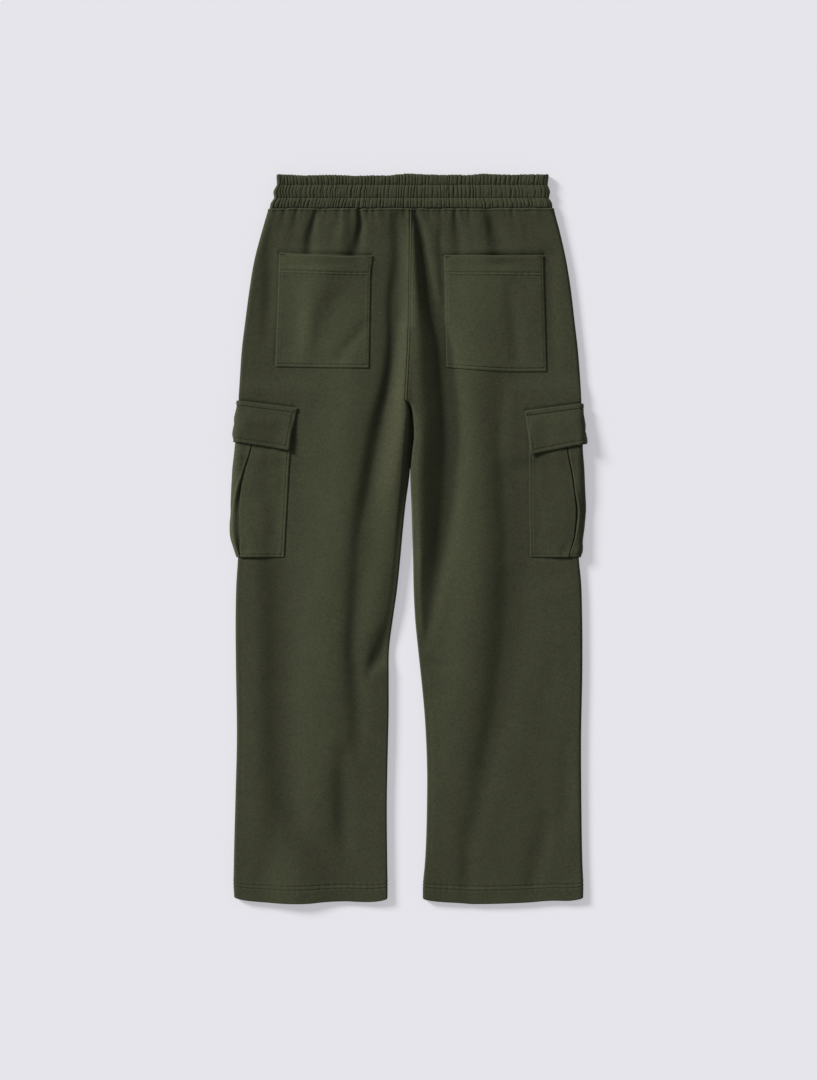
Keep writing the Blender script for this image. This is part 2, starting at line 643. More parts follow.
def stitchesAlong(places, normals, pitch):
    # evenly spaced stitch centres on a line of places, with their directions
    steps = np.linalg.norm(np.diff(places, axis=0), axis=1)
    travelled = np.concatenate([[0.0], np.cumsum(steps)])
    count = max(int(travelled[-1] / pitch), 1)
    centres = (np.arange(count) + 0.5) * travelled[-1] / count
    reach = 0.35 * pitch

    def read(values, where):
        return np.stack([np.interp(where, travelled, values[:, axis]) for axis in range(3)], axis=-1)

    here = read(places, centres)
    along = read(places, centres + reach) - read(places, centres - reach)
    along = along / np.linalg.norm(along, axis=1)[:, None]
    up = read(normals, centres)
    up = up - np.sum(up * along, axis=1)[:, None] * along
    up = up / np.linalg.norm(up, axis=1)[:, None]
    return zip(here + up * 0.12, along, up)


def barTack(skins, down, across, slant, length=8.0, width=1.7):
    # a close zigzag, as a run of short stitches lying across its own line
    outer, inner = skins
    up = (outer - inner)[down, across]
    up = up / np.linalg.norm(up)
    along = np.array([1.0, slant, 0.0])
    along = along / np.linalg.norm(along)
    tilt = np.cross(up, along) + 0.25 * along
    bead = {"pitch": width, "length": width, "width": 0.6}
    runs = []
    for share in np.linspace(-0.5, 0.5, 15):
        middle = outer[down, across] + along * share * length
        line = np.stack([middle - tilt * width / 2, middle + tilt * width / 2])
        runs.append((line + up * 0.25, np.stack([up, up]), bead))
    return runs


# ---- leg panels ----


def panelHeights(count):
    # rows down a panel, closer at the waist seam, the pockets' edges, the crotch and the hem
    y = np.linspace(leg["waistY"], leg["hemY"], 5000)
    pocketMouth, pocketBottom = 408.0, 243.0
    closeness = [  # how near a row is to each place, and the rows' spacing there
        (np.ones(len(y)), 5.2),
        (smooth((y - 466) / 3), 0.6),
        (bell(y - leg["crotchY"] + 2, 16), 1.5),
        (bell(y - leg["crotchY"] + 4, 5), 0.7),
        *[(bell(y - edge, 4.0), 1.2) for edge in (pocketMouth, pocketBottom, cargo["bottomY"])],
        (smooth((y + 510) / 2) * smooth((-496 - y) / 2), 0.6),
        (smooth((leg["hemY"] + 3 - y) / 2), 0.5),
    ]
    weights = np.max([near / spacing for near, spacing in closeness], axis=0)
    rows = -spread(-y, weights, count)
    for height in (leg["waistRow"], *leg["hemRows"]):
        rows[nearest(rows, height)] = height
    return rows


seamSteps = np.array([14, 12.4, 11, 9.8, 8.7, 7.7, 6.8, 6, 5.4, 4.9, 4.3, 3.7, 3.2, 2.6, 2, 1.5, 1, 0.5, 0])


def panelGirths(line, y, columns, front):
    # columns across a panel: fixed steps beside each seam, and even ones between
    turn = float(crotchTurn(y))
    total = abs(line["girth"][0]) if front else line["girth"][-1]
    gap = 0.65 * cloth["seamGap"]
    head = np.array([0.0, 0.5, 1.1, 1.8, 2.6, 3.6, 4.8, 6.0, 7.2, 8.4, 9.8, 11.4, 13.2, 15.2])
    middle = np.linspace(head[-1], total - seamSteps[0], columns)[1:-1]
    girths = np.concatenate([gap + head, middle, total - gap * turn - seamSteps])
    return (-girths if front else girths), total


def seamRelief(side, y, x, girth, total, front):
    # heights that the sewing adds to a panel: seams, topstitch rows, puckers and the press of patches
    joined = 1.0 - crotchTurn(y)
    fromSide = np.abs(girth)
    fromInner = total - np.abs(girth)
    raised = -0.8 * bell(fromSide, 0.9) + 0.15 * bell(fromSide - 2.4, 1.3)
    raised = raised - 0.6 * bell(fromInner, 0.75) + 0.15 * bell(fromInner - 2.0, 1.2)
    if side == "right" and not front:
        allowance = smooth(fromInner / 1.2) * smooth((leg["centreRow"] + 0.4 - fromInner) / 0.8)
        raised = raised + joined * (0.3 * allowance + stitchDip(fromInner - leg["centreRow"]))
        raised = raised + joined * puckers(y + 0 * girth, fromInner - 4, 11)
    below = leg["waistY"] - y
    raised = raised + 0.6 * bell(below - 2.2, 1.2) - 0.9 * bell(below, 0.8)
    raised = raised + 0.3 * stitchDip(y - leg["waistRow"]) + 0.9 * puckers(fromSide, below - 5, 13)
    for row in leg["hemRows"]:
        raised = raised + stitchDip(y - row)
    raised = raised + 1.3 * puckers(fromSide, (y + 503) / 1.6, 17)
    raised = raised + edgeRound(y - leg["hemY"], float(wallAt(y)))
    if front:
        return np.minimum(raised, 0.0)
    return raised - patchPress(side, x, y, girth)


def patchPress(side, x, y, girth):
    # how deep the leg is pressed in beside its patches, and above a pocket's mouth or a flap
    shape = seatPockets[side]
    corners = [shape["top"][0], shape["bottom"][0], shape["bottom"][1], shape["top"][1], shape["top"][0]]
    distances = []
    for start, end in zip(corners[:-1], corners[1:]):
        _, aside, along = alongStretch(x, y, start, end)
        distances.append(np.hypot(aside, along))
    beside = np.where(cargo["bottomY"] <= y <= flap[side]["topY"], np.abs(girth - cargoBack(side, y)), 1e3)
    below = np.where(girth < cargoBack(side, y), abs(y - cargo["bottomY"]), 1e3)
    sewn = np.minimum.reduce([*distances[:3], beside, below])
    flapTop = np.abs(y - flap[side]["topY"] - flap[side]["topSlope"] * girth)
    mouth = np.minimum(distances[3], np.where(girth < flap[side]["backTop"], flapTop, 1e3))
    pressed = leg["pressDepth"] * bell(sewn, leg["pressWidth"])
    return pressed + leg["mouthDepth"] * bell(mouth, leg["mouthWidth"])


def waistShift(x, y, z):
    # the waist seam waves with its gathers, and its underside lies lower
    near = smooth(1.0 - np.abs(y - leg["waistY"]) / 14.0)
    wave = leg["waistWave"] * softNoise(x, 0 * x, 13, 8)
    return near * (wave - leg["waistDrop"] * (1.0 - smooth(z / 4.0)))


def hemRise(side, x):
    # the hem curves up a little at the leg's two edges
    outer = float(outerX[side](leg["hemY"]))
    inner = float(innerX(side, leg["hemY"]))
    across = np.clip((x - outer) / (inner - outer) * 2 - 1, -1, 1)
    return leg["hemCornerRise"] * (0.25 * across**2 + 0.75 * across**8) + hemWave[side](x)


def legPanel(side, front):
    layer = "front" if front else "back"
    node = layer + "_" + side
    heights = panelHeights(leg[layer + "Rows"])
    outerSkin, innerSkin, nap = [], [], []
    for y in heights:
        line = sectionLine(side, float(y))
        girths, total = panelGirths(line, float(y), leg[layer + "Columns"], front)
        flat = onLeg(line, girths)
        raised = seamRelief(side, float(y), flat[:, 0], girths, total, front)
        surface = onLeg(line, girths, raised)
        inside = onLeg(line, girths, -float(wallAt(y)))
        hemShare = float(smooth((leg["hemY"] + 60 - y) / 60))
        rowY = y + hemShare * hemRise(side, surface[:, 0]) + waistShift(surface[:, 0], float(y), flat[:, 1])
        outerSkin.append(np.stack([surface[:, 0], rowY, np.maximum(surface[:, 1], 0.0)], axis=-1))
        innerSkin.append(np.stack([inside[:, 0], rowY, inside[:, 1]], axis=-1))
        facing = np.interp(girths, line["girth"], line["outX"])
        lie = 0 * raised
        if not front:
            lie = napOn(surface[:, 0], 0 * raised + y) - 0.7 * smooth((facing - 0.3) / 0.35)
        nap.append(lie + creaseNap(raised))
    skins = np.array(outerSkin), np.array(innerSkin)
    panel = doubleSkin(node + "_panel", *skins, np.array(nap), node, "fleece")
    rows = (leg["waistRow"], *leg["hemRows"])
    runs = [stitchRow(skins, nearest(heights, row), slice(3, -3)) for row in rows]
    if side == "right" and not front:
        column = nearest(seamSteps, leg["centreRow"]) - len(seamSteps)
        runs.append(stitchRow(skins, slice(4, nearest(heights, leg["crotchY"])), column))
    sewing = sewRuns(node + "_stitching", runs)
    return panel, sewing


# ---- waistband ----

band = {
    "topY": 525.2,
    "thickness": 12.0,
    "wall": 4.4,  # two layers round the elastic
    "gathers": 76,
    "channelRise": 1.1,  # the cloth puffs up between two rows of stitches
    "creaseDepth": 1.75,
    "rowLines": (476.3, 490.5, 509.5, 525.2),  # the seam, two rows of stitches and the top edge
    "edges": [  # y, left, right
        (525.2, -189.3, 202.6), (509.5, -189.3, 201.5), (500.0, -193.4, 204.2), (490.5, -193.2, 203.4),
        (483.0, -197.4, 207.0), (476.3, -199.2, 208.1),
    ],
    "topWave": [  # x and how much the top edge is raised there
        (190, -0.4), (132, -0.8), (109, 0.4), (90, -1.2), (70, -1.2), (23, -0.6), (-3, 0.4),
        (-29, -2.2), (-48, -1.8), (-70, -2.6), (-112, -1.3), (-150, -2.0), (-184, -0.3),
    ],
    "sheet": (0.98, 0.052),
}
bandTop = curveThrough(band["topWave"], 1)
bandLeft = curveThrough(band["edges"], 1)
bandRight = curveThrough(band["edges"], 2)
insideGather = np.array([0, 0.04, 0.1, 0.2, 0.35, 0.5, 0.65, 0.8, 0.9, 0.96])  # one gather's columns


def gatherLayout():
    # each crease's place on each stitch row as a share of the width, its depth in each channel and
    # whether it dies out upwards or downwards
    chance = np.random.default_rng(24)
    count = band["gathers"]
    widths = (0.86 + 0.3 * np.arange(count) / count) * chance.uniform(0.62, 1.45, count)
    places = np.concatenate([[0.0], np.cumsum(widths)]) / widths.sum()
    slant = np.interp(places, [0, 0.12, 0.25, 1], [-1.3, -0.9, -0.1, 0.15])
    rows = []
    for row in range(4):
        own = chance.uniform(-0.24, 0.24, count + 1) + slant * (row - 1.5) * 0.35
        own[[0, -1]] = 0.0
        rows.append(places + own / count)
    strengths = chance.choice([0.2, 0.6, 1.0], (3, count + 1), p=[0.12, 0.36, 0.52])
    depths = strengths * chance.uniform(0.45, 1.0, (3, count + 1))
    fades = chance.uniform(-1.0, 1.0, (3, count + 1))
    swells = chance.uniform(-0.3, 1.0, (3, count))
    return np.array(rows), depths, fades, swells


creaseRows, creaseDepths, creaseFades, gatherSwells = gatherLayout()


def gatherRow(channel, v):
    # along one row of a channel: the columns' shares of the width, how far each has fallen into a
    # crease, and how far it swells between two
    creases = creaseRows[channel] * (1 - v) + creaseRows[channel + 1] * v
    start, end = creases[:-1, None], creases[1:, None]
    share = np.append((start + insideGather * (end - start)).ravel(), 1.0)
    fades = creaseFades[channel]
    depths = creaseDepths[channel] * (1 - np.abs(fades) * np.where(fades > 0, v, 1 - v) ** 1.5)
    fall = bell(insideGather, 0.15) * depths[:-1, None] + bell(1 - insideGather, 0.15) * depths[1:, None]
    dome = (1 - (2 * insideGather - 1) ** 2) * gatherSwells[channel][:, None]
    return share, np.append(fall.ravel(), 1.0), np.append(dome.ravel(), 0.0)


def bandRow(y, inset, channel, v):
    # one row of the flattened ring with its gathers: the back, round the right end, and back
    # underneath with a quarter of the columns. The left end's arc is joined from the top down, against
    # the ring's own way round, so that its faces point inward and two walls stand across its inside.
    share, fall, dome = gatherRow(channel, v)
    half = band["thickness"] / 2
    left = float(bandLeft(y)) + inset
    right = float(bandRight(y)) - inset
    radius = half - inset
    arc = np.linspace(math.pi / 2, -math.pi / 2, 14)[1:-1]
    under = slice(None, None, -4)
    bend, level, back = radius * np.cos(arc), 0 * share, 0 * share[under]
    flatX = left + radius + share * (right - left - 2 * radius)
    x = np.concatenate([flatX, right - radius + bend, flatX[under], left + radius - bend])
    z = np.concatenate([level + radius, radius * np.sin(arc), back - radius, radius * np.sin(arc)]) + half
    outX = np.concatenate([level, np.cos(arc), back, -np.cos(arc)])
    outZ = np.concatenate([level + 1, np.sin(arc), back - 1, np.sin(arc)])
    puff = math.sin(math.pi * v) ** 0.42 if 0 < v < 1 else 0.0
    depth = band["creaseDepth"] * (0.45 + 0.55 * puff)
    rumpled = 0.3 * softNoise(flatX, level + y, 4.5, 61) + 0.2 * softNoise(flatX, level + y, 2.4, 62)
    rise = band["channelRise"] * puff + 0.3 * dome * (0.4 + 0.6 * puff) - depth * fall - 0.8 * (1 - puff)
    rise = rise + puff * rumpled
    aside = 0.45 * band["channelRise"] * puff + 0 * arc - 0.5 * (1 - puff)
    raised = np.concatenate([rise, aside, np.minimum(0.0, rise[under] - 1.2), aside])
    edge = float(smooth((y - 517) / 8))
    lift = np.concatenate([edge * (0.4 * dome - 0.9 * fall), 0 * arc, back, 0 * arc]) + edge * bandTop(x)
    wander = 0.6 * softNoise(x, 0 * x + 40 * (channel + round(v)), 5.5, 14) * (1 - puff)
    rowY = y + lift + wander + waistShift(x, y, z) * (y < band["rowLines"][1])
    nap = np.concatenate([0.3 * dome * puff - 0.7 * fall, 0 * arc, back, 0 * arc])
    return np.stack([x + outX * raised, rowY, np.maximum(z + outZ * raised, 0.0)], axis=-1), nap


def closedRing(values):
    # rows and columns that come round to their first ones
    values = np.concatenate([values, values[:1]], axis=0)
    return np.concatenate([values, values[:, :1]], axis=1)


def waistBand():
    lines = band["rowLines"]
    steps = np.array([0, 0.035, 0.08, 0.15, 0.26, 0.38, 0.5, 0.62, 0.74, 0.85, 0.92, 0.965])
    rows = []
    for channel in range(3):
        for v in steps:
            rows.append(bandRow(lines[channel] + (lines[channel + 1] - lines[channel]) * v, 0.0, channel, v))
    foldRadius = band["wall"] / 2
    for angle in np.linspace(0, math.pi, 7)[1:]:
        y = band["topY"] - foldRadius * 0.7 + foldRadius * 0.7 * math.sin(angle)
        rows.append(bandRow(y, foldRadius * (1 - math.cos(angle)), 2, 0.93 + 0.02 * math.sin(angle)))
    for y in (500.0, lines[0]):
        points, nap = bandRow(y, band["wall"], 0, 0.0)
        rows.append((points, 0 * nap))
    points, nap = (np.array(values) for values in zip(*rows))
    shape = gridShape(closedRing(points), closedRing(nap))
    bmesh.ops.remove_doubles(shape, verts=shape.verts, dist=0.000005)
    piece = finishPiece("waistband_gathered", shape, "waistband")
    count = band["gathers"] * len(insideGather) + 1
    up = np.tile([0.0, 0.0, 1.0], (count, 1))
    runs = [(points[channel * len(steps), :count], up, thread) for channel in (1, 2)]
    sewing = sewRuns("waistband_stitching", runs)
    return piece, sewing


# ---- seat pockets ----

seatPockets = {
    "left": {
        "top": ((-185.0, 412.0), (-53.0, 407.8)),
        "bottom": ((-191.0, 247.3), (-56.0, 245.2)),
        "dip": 2.8,
        "drop": 0.5,
        "flare": 2.6,  # the top corner towards the centre seam stands out
        "brushed": 0.75,
    },
    "right": {
        "top": ((52.0, 408.3), (195.0, 408.5)),
        "bottom": ((55.5, 246.8), (200.0, 240.6)),
        "dip": 0.8,
        "drop": 3.0,
        "flare": 0.4,
        "brushed": 0.55,
    },
    "width": 138.0,
    "length": 165.0,
    "hemRows": (25.0, 29.6),
    "edgeRow": 3.6,
    "bottomRow": 4.8,
    "hemExtra": 0.4,
    "borderExtra": 0.2,  # the turned-in edge under the topstitch
    "borderWidth": 5.2,
    "held": 18.0,  # the mouth is held straight over the leg's creases, this far down
    "sheet": (0.150, 0.205),
}


def seatPocket(side):
    shape = seatPockets[side]
    width, length = seatPockets["width"], seatPockets["length"]
    row, bottomRow = seatPockets["edgeRow"], seatPockets["bottomRow"]
    hemRows = seatPockets["hemRows"]
    across = stopsAlong(width, (row, width - row), 2.4)
    down = stopsAlong(length, (*hemRows, length - bottomRow), 2.6)
    s, t = np.meshgrid(across, down)
    corners = [np.array(corner) for corner in (*shape["top"], *shape["bottom"])]
    topLine = corners[0] + (s / width)[..., None] * (corners[1] - corners[0])
    bottomLine = corners[2] + (s / width)[..., None] * (corners[3] - corners[2])
    places = topLine + (t / length)[..., None] * (bottomLine - topLine)
    bow = 4 * s / width * (1 - s / width)
    downShare = t / length
    y = places[..., 1] - bow * (shape["dip"] * (1 - downShare) ** 4 + shape["drop"] * downShare**4)
    x = places[..., 0] + shape["flare"] * (s / width) * (1 - smooth(t / 26))
    toEdge = np.minimum(np.minimum(s, width - s), length - t)
    toAnyEdge = np.minimum(toEdge, t)
    border = 1 - smooth((toEdge - seatPockets["borderWidth"]) / 1.5)
    hem = 1 - smooth((t - seatPockets["hemRows"][1] - 1.0) / 1.5)
    turnedIn = np.maximum(seatPockets["borderExtra"] * border, seatPockets["hemExtra"] * hem)
    wall = cloth["patchWall"] + turnedIn
    raised = edgeRound(toAnyEdge, 1.9 * wall)
    below = t > hemRows[0] - 3
    for distance in (s - row, width - row - s):
        raised = raised + 0.5 * stitchDip(distance) * smooth((length - bottomRow + 1 - t) / 2)
    raised = raised + 1.6 * stitchDip(length - bottomRow - t) * smooth((toEdge - row + 1.5) / 2)
    for line in hemRows:
        raised = raised + stitchDip(t - line) * smooth((np.minimum(s, width - s) - row + 1.5) / 2)
    raised = raised + puckers(t, s - row, 21) + puckers(t, width - row - s, 22)
    raised = raised + puckers(s, length - bottomRow - t, 23)
    raised = raised + 1.4 * puckers(s, (t - hemRows[0] - 2) / 1.3, 24) * below
    slack = 1.4 * bow * (1 - downShare) ** 4 - leg["pressDepth"] * bell(toEdge, leg["pressWidth"])
    held = seatPockets["held"] * (1 - smooth(t / seatPockets["held"]))
    bridge = np.maximum(topHeight(side, x, y - held) - topHeight(side, x, y), 0.0)
    inside = onBack(side, x, y, cloth["patchGap"] + slack)
    outside = onBack(side, x, y, cloth["patchGap"] + slack + wall + raised)
    inside[..., 2] += bridge
    outside[..., 2] += bridge
    nap = shape["brushed"] + napOn(x, y - held) + 0.25 * border * smooth(toAnyEdge / 1.5)
    nap = nap + creaseNap(raised)
    node = "back_pocket_" + side
    piece = doubleSkin(node + "_patch", outside, inside, nap, node, "pocket_fleece")
    skins = outside, inside
    left, right = nearest(across, row), nearest(across, width - row)
    bottom = nearest(down, length - bottomRow)
    runs = [stitchRow(skins, slice(1, bottom + 1), column) for column in (left, right)]
    for index in (bottom, *[nearest(down, line) for line in hemRows]):
        runs.append(stitchRow(skins, index, slice(left, right + 1)))
    for column, slant in ((nearest(across, 5.5), 0.05), (nearest(across, width - 5.5), -0.25)):
        runs += barTack(skins, nearest(down, 2.6), column, slant)
    sewing = sewRuns(node + "_stitching", runs)
    return piece, sewing


# ---- cargo pockets ----

cargo = {
    "left": {"backTop": 80.0, "backBottom": 69.5, "topY": 166.0, "dent": 0.8, "brushed": 1.1},
    "right": {"backTop": 77.0, "backBottom": 72.5, "topY": 162.0, "dent": 1.8, "brushed": -0.35},
    "bottomY": -27.0,
    "frontReach": 84.0,
    "lift": 2.4,  # the patch gap, a layer of cloth and a little air
    "liftReach": 96.0,  # how far in from the leg's edge the pocket raises it
    "liftFade": 40.0,
    "liftEnds": ((-58.0, 28.0), (236.0, 26.0)),
    "layerStep": 1.1,  # one layer of a folded pleat up to the next
    "pleatDepth": 12.0,
    "edgeRow": 4.2,
    "borderExtra": 0.25,
    "borderWidth": 5.6,
    "pleat": [  # y, then left and right: the pleat edge's girth, its outer fold's height and the side's
        (170, 30.0, 30.0, 0.3, 0.3, 0.3, 0.3),
        (150, 27.0, 27.0, 1.4, 1.2, 1.4, 1.0),
        (132, 23.0, 23.0, 2.6, 2.0, 3.9, 2.2),
        (106, 15.6, 17.3, 3.4, 2.6, 6.2, 4.6),
        (87, 10.2, 13.5, 4.2, 3.0, 7.8, 6.0),
        (67, 7.2, 10.5, 5.2, 3.4, 9.4, 7.8),
        (41, 5.7, 7.4, 6.8, 3.8, 10.6, 9.4),
        (18, 5.7, 8.4, 7.6, 3.8, 12.5, 7.5),
        (-5, 6.1, 11.5, 6.4, 3.2, 9.0, 4.9),
        (-17, 6.0, 15.4, 3.6, 2.2, 4.4, 4.8),
        (-27, 6.6, 17.6, 0.3, 0.3, 0.6, 1.2),
    ],
    "slot": [  # y, how far the pleat stands open, left and right
        (170, 0.0, 0.0), (132, 1.0, 1.2), (106, 1.6, 1.7), (67, 2.4, 2.0), (30, 3.2, 2.0),
        (-5, 2.4, 1.5), (-27, 0.1, 0.3),
    ],
    "sheet": (0.235, 0.215),
}
pleatEdge = {side: curveThrough(cargo["pleat"], column) for column, side in enumerate(sides, 1)}
pleatLip = {side: curveThrough(cargo["pleat"], column) for column, side in enumerate(sides, 3)}
pocketSide = {side: curveThrough(cargo["pleat"], column) for column, side in enumerate(sides, 5)}
slotWidth = {side: curveThrough(cargo["slot"], column) for column, side in enumerate(sides, 1)}


def cargoBack(side, y):
    # the pocket's back edge, as a girth distance from the side seam
    shape = cargo[side]
    down = (shape["topY"] - y) / (shape["topY"] - cargo["bottomY"])
    return shape["backTop"] + down * (shape["backBottom"] - shape["backTop"])


def arcPath(centre, radius, start, end, count):
    angles = np.linspace(math.radians(start), math.radians(end), count)
    return np.stack([centre[0] + radius * np.cos(angles), centre[1] + radius * np.sin(angles)], axis=-1)


def pathPiece(girth, height):
    return np.stack(np.broadcast_arrays(girth, height), axis=-1)


def pleatPath(side, y):
    # the pocket's middle line at y: from its back edge, over the folded pleat and round to the front
    pleat, lip, bulge = float(pleatEdge[side](y)), float(pleatLip[side](y)), float(pocketSide[side](y))
    back = cargoBack(side, y)
    depth, turn = cargo["pleatDepth"], cargo["layerStep"] / 2
    lay = cloth["patchGap"] + cloth["patchWall"] / 2
    second, third = lay + cargo["layerStep"], lay + 2 * cargo["layerStep"]
    foot = back - 14
    edge = back - edgeSteps
    flatRun = np.linspace(edge[-1], foot, 4)[1:]
    share = np.linspace(0, 1, 24)[1:]
    slope = foot - share * (foot - pleat - depth - 1.5)
    slopeRise = 0.7 * share + 0.3 * smooth(share)
    upper = np.linspace(slope[-1], pleat + turn, 9)[1:-1]
    middle = np.linspace(pleat + turn, pleat + depth, 9)[1:-1]
    lower = np.linspace(pleat + depth, pleat + 0.6, 9)[1:]
    lipWall = pleat - float(slotWidth[side](y)) - np.array([0.3, 0.6, 0.8, 1.0, 1.25, 1.6, 2.1])
    lipShare = np.array([0.0, 0.22, 0.5, 0.75, 0.92, 1.0, 1.02])
    rim = np.linspace(lipWall[-1], min(-1.0, lipWall[-1] - 2), 12)[1:]
    under = np.linspace(rim[-1], -17.0, 16)[1:]
    rimShare = smooth((rim - rim[0]) / (rim[-1] - rim[0]))
    underShare = 1 - smooth((under - rim[-1]) / (-15.0 - rim[-1]))
    frontEdge = -cargo["frontReach"] + edgeSteps[::-1]
    frontRun = np.linspace(under[-1], frontEdge[0], 20)[1:-1]
    backPath = [
        pathPiece(edge, lay),
        pathPiece(flatRun, lay),
        pathPiece(slope, lay + (third - lay) * slopeRise),
        pathPiece(upper, third),
    ]
    folded = [
        arcPath((pleat + turn, (second + third) / 2), turn, 90, 270, 11),
        pathPiece(middle, second),
        arcPath((pleat + depth, (lay + second) / 2), turn, 90, -90, 9),
        pathPiece(lower, lay),
    ]
    frontPath = [
        pathPiece(lipWall, lay + lip * lipShare),
        pathPiece(rim, lay + lip + (bulge - lip) * rimShare),
        pathPiece(under, lay + bulge * underShare),
        pathPiece(frontRun, lay),
        pathPiece(frontEdge, lay),
    ]
    foldStart = sum(len(stretch) for stretch in backPath)
    foldEnd = foldStart + sum(len(stretch) for stretch in folded)
    return np.concatenate(backPath + folded + frontPath), foldStart, foldEnd


# a cargo pocket's columns, in from its edge
edgeSteps = np.array([0, 0.35, 0.8, 1.4, 2.2, 3.0, 3.6, 4.2, 4.8, 5.4, 6.2, 7.2, 8.6])


def offsetSection(line, distance):
    # a line of places in one section, moved sideways by distance
    before = np.diff(line, axis=0, prepend=line[:1])
    after = np.diff(line, axis=0, append=line[-1:])
    before[0], after[-1] = after[0], before[-1]
    before = before / np.maximum(np.linalg.norm(before, axis=1), 1e-6)[:, None]
    after = after / np.maximum(np.linalg.norm(after, axis=1), 1e-6)[:, None]
    tangent = before + after
    tangent = tangent / np.maximum(np.linalg.norm(tangent, axis=1), 1e-6)[:, None]
    normal = np.stack([-tangent[:, 1], tangent[:, 0]], axis=-1)
    stretch = np.clip(1.0 / np.maximum(np.sum(tangent * after, axis=1), 0.2), 1.0, 1.35)
    return line + normal * (distance * stretch)[:, None]


def cargoPocket(side, skin):
    topY, bottomY = cargo[side]["topY"], cargo["bottomY"]
    length = topY - bottomY
    row = cargo["edgeRow"]
    wall = cloth["patchWall"]
    down = stopsAlong(length, (length - row,), 2.6)
    outerSkin, innerSkin, nap = [], [], []
    for t in down:
        y = topY - t
        path, foldStart, foldEnd = pleatPath(side, y)
        placed = skin.place(path[:, 0], np.full(len(path), y), path[:, 1])
        middle = placed[:, [0, 2]]
        ground = flap["lift"] * float(fadedEnds(y, flap["liftEnds"])) + wall / 2
        middle[:, 1] = np.maximum(middle[:, 1], ground)
        travelled = np.concatenate([[0.0], np.cumsum(np.linalg.norm(np.diff(path, axis=0), axis=1))])
        toSide = np.minimum(travelled, travelled[-1] - travelled)
        toEdge = np.minimum(toSide, length - t)
        border = 1 - smooth((toEdge - cargo["borderWidth"]) / 1.5)
        raised = cargo["borderExtra"] * border + edgeRound(toEdge, 1.9 * wall)
        raised = raised + stitchDip(toSide - row) * smooth((length - row + 1 - t) / 2)
        raised = raised + stitchDip(length - row - t) * smooth((toSide - row + 1.5) / 2)
        raised = raised + puckers(t + 0 * toSide, toSide - row, 31)
        raised = raised + puckers(path[:, 0], length - row - t, 33)
        raised = raised - leg["pressDepth"] * bell(toEdge, leg["pressWidth"])
        rumpled = 0.5 * softNoise(path[:, 0], 0 * toSide + y * 0.6, 17, 35)
        raised = raised + rumpled * smooth((toEdge - 6) / 12)
        dent = cargo[side]["dent"] * float(bell(y + 17, 6))
        raised = raised - dent * bell(path[:, 0] - float(pleatEdge[side](y)) - 8, 5)
        hidden = np.zeros(len(path))
        hidden[foldStart + 3 : foldEnd + 2] = 1.0
        raised = raised * (1 - hidden)
        outside = offsetSection(middle, -inward[side] * (wall / 2 + raised))
        inside = offsetSection(middle, inward[side] * wall / 2 * np.ones(len(middle)))
        outside[:, 1] = np.maximum(outside[:, 1], 0.0)
        outerSkin.append(np.stack([outside[:, 0], np.full(len(path), y), outside[:, 1]], axis=-1))
        innerSkin.append(np.stack([inside[:, 0], np.full(len(path), y), inside[:, 1]], axis=-1))
        rubbed = bell(travelled - travelled[foldStart], 2.0) + bell(travelled - travelled[foldEnd + 6], 2.5)
        lie = cargo[side]["brushed"] + 0.25 * border * smooth(toEdge / 1.5)
        nap.append(lie + 0.4 * rubbed - 1.6 * hidden)
    skins = np.array(outerSkin), np.array(innerSkin)
    node = "cargo_pocket_" + side
    piece = doubleSkin(node + "_pleated", *skins, np.array(nap), node, "pocket_fleece")
    column = nearest(edgeSteps, row)
    bottom = nearest(down, length - row)
    runs = [stitchRow(skins, slice(0, bottom + 1), edge) for edge in (column, -1 - column)]
    for stretch in (slice(column, foldStart + 1), slice(foldEnd + 4, -column)):
        runs.append(stitchRow(skins, bottom, stretch))
    sewing = sewRuns(node + "_stitching", runs)
    return piece, sewing


# ---- flaps ----

flap = {
    "left": {
        "topY": 199.0,
        "topSlope": -0.125,
        "bottomY": 139.0,
        "bottomSlope": -0.158,
        "backTop": 88.0,
        "backBottom": 76.0,
        "bow": -0.4,
        "flare": 0.9,  # the lower front part stands off further
        "flareFrom": 8.0,
        "pleatCover": 3.2,  # how far it rises over the pocket's pleat
        "cornerLift": 3.0,  # the free back corner stands off the leg
    },
    "right": {
        "topY": 195.0,
        "topSlope": -0.131,
        "bottomY": 136.0,
        "bottomSlope": -0.205,
        "backTop": 84.0,
        "backBottom": 72.6,
        "bow": 1.0,
        "flare": 3.6,
        "flareFrom": 22.0,
        "pleatCover": 2.6,
        "cornerLift": 2.2,
    },
    "frontReach": 88.0,
    "wall": 2.0,  # two layers, turned and pressed
    "lift": 3.7,
    "liftEnds": ((98.0, 24.0), (240.0, 28.0)),
    "topRow": 7.0,
    "edgeRow": 5.6,
    "topExtra": 0.5,
    "sheet": (0.185, 0.075),
}


def flapHeight(side, girth, y, fromTop):
    # how far the flap's inside stands off the leg: just over the pocket beneath, and higher over its pleat
    back = cargoBack(side, y)
    overPocket = 1 - smooth((girth - back + 3) / 5)
    overPleat = smooth((girth + 22) / 22) * (1 - np.clip((girth - 16) / (back - 24), 0, 1))
    ramp = 28 + 20 * (1 - smooth(girth / 14))
    cover = smooth(fromTop / 24) * (cloth["patchWall"] + 0.5)
    cover = cover + smooth((fromTop - 4) / ramp) * flap[side]["pleatCover"] * overPleat
    flare = flap[side]["flare"] * smooth((fromTop - flap[side]["flareFrom"]) / 45)
    flare = flare * smooth((girth + 22) / 22) * (1 - smooth(girth / 9))
    return cloth["patchGap"] + overPocket * cover + flare


